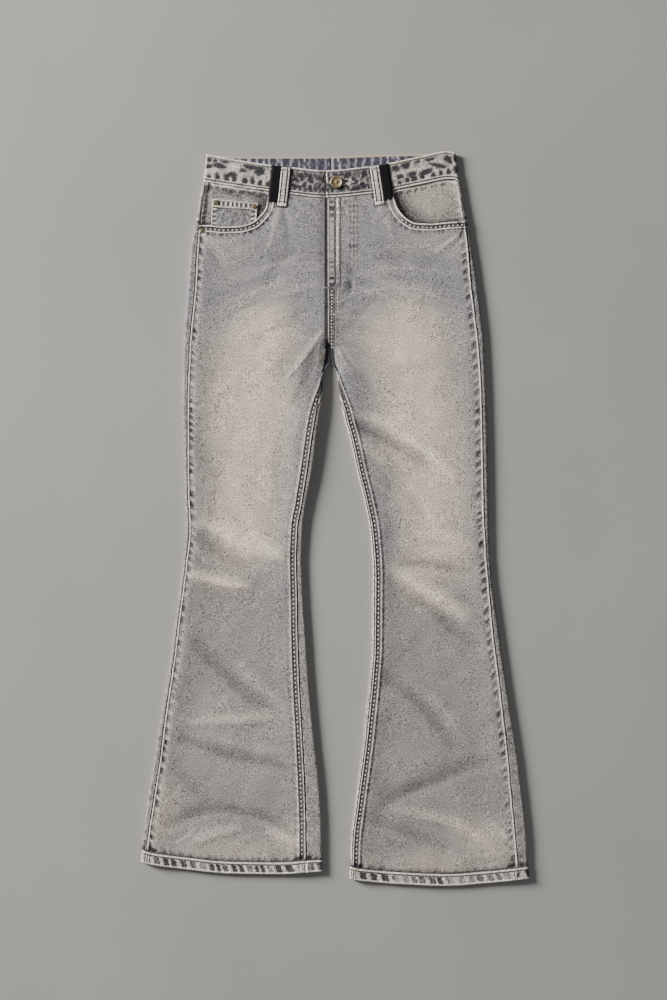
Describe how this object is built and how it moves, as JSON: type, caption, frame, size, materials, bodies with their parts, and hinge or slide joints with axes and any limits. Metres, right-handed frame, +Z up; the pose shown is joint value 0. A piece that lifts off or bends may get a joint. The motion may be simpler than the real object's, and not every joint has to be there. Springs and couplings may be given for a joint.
{
  "type": "jeans laid flat",
  "caption": "Flared five-pocket jeans of faded denim, laid flat on their back with the front up, with a shank button, riveted pockets and belt loops of denim and black tape.",
  "frame": {"origin": "centre of the garment's outline, on the surface that it lies on", "axes": "+Y from the hems towards the waist; +Z up from the surface, out of the garment's front; +X towards the wearer's left"},
  "size_m": [0.5659, 1.0695, 0.0109],
  "materials": {
    "denim": "washed grey-blue twill, faded beige on the thighs",
    "denim_band": "washed twill with pale worn ridges and dark indigo between them",
    "black_tape": "matte black woven tape",
    "zip_tape": "woven tape with a closed metal chain",
    "brass": "antique, worn",
    "copper": "antique copper"
  },
  "bodies": {
    "root": {"right_back_panel": "denim", "right_front_panel": "denim", "right_pocket_facing": "denim", "right_waistband": "denim_band", "left_back_panel": "denim", "left_front_panel": "denim", "left_pocket_facing": "denim", "left_waistband": "denim_band", "coin_pocket": "denim", "fly_zip": "zip_tape", "right_denim_loop": "denim_band", "right_tape_loop": "black_tape", "left_denim_loop": "denim_band", "left_tape_loop": "black_tape", "waist_button": "brass", "right_pocket_rivet": "brass", "left_pocket_rivet": "brass", "coin_rivet_outer": "copper", "coin_rivet_inner": "copper"}
  },
  "joints": []
}
